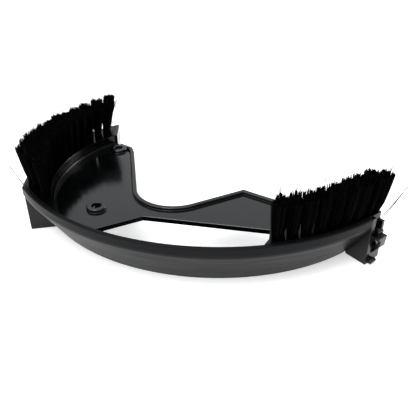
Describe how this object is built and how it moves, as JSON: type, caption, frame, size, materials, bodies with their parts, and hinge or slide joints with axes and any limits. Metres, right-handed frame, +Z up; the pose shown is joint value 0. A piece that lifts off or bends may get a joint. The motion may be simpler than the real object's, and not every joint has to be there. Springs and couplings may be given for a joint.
{
  "type": "pool vacuum head brush frame",
  "caption": "Half-moon brush frame for a manual pool vacuum head: curved front bumper, notched web plate and bristle blocks on both wings, bristles up.",
  "frame": {"origin": "centre of the whole part's box, on the plane that the frame stands on", "axes": "+X to the right along the bumper, +Y from the front bumper to the back, +Z up along the bristles"},
  "size_m": [0.2614, 0.1794, 0.066],
  "materials": {
    "frame_gloss": "glossy black moulded plastic",
    "bumper_satin": "satin black moulded plastic",
    "block_gloss": "glossy black plastic, drilled",
    "bristle_nylon": "black nylon filament",
    "staple_metal": "plain flat wire",
    "screw_steel": "stainless steel"
  },
  "bodies": {
    "root": {"web_plate": "frame_gloss", "left_wing": "frame_gloss", "right_wing": "frame_gloss", "front_bumper": "bumper_satin", "left_brush_block": "block_gloss", "right_brush_block": "block_gloss", "left_block_screws": "screw_steel", "right_block_screws": "screw_steel", "left_tufts_row_1": "bristle_nylon", "left_staples_row_1": "staple_metal", "left_tufts_row_2": "bristle_nylon", "left_staples_row_2": "staple_metal", "left_tufts_row_3": "bristle_nylon", "left_staples_row_3": "staple_metal", "right_tufts_row_1": "bristle_nylon", "right_staples_row_1": "staple_metal", "right_tufts_row_2": "bristle_nylon", "right_staples_row_2": "staple_metal"}
  },
  "joints": []
}
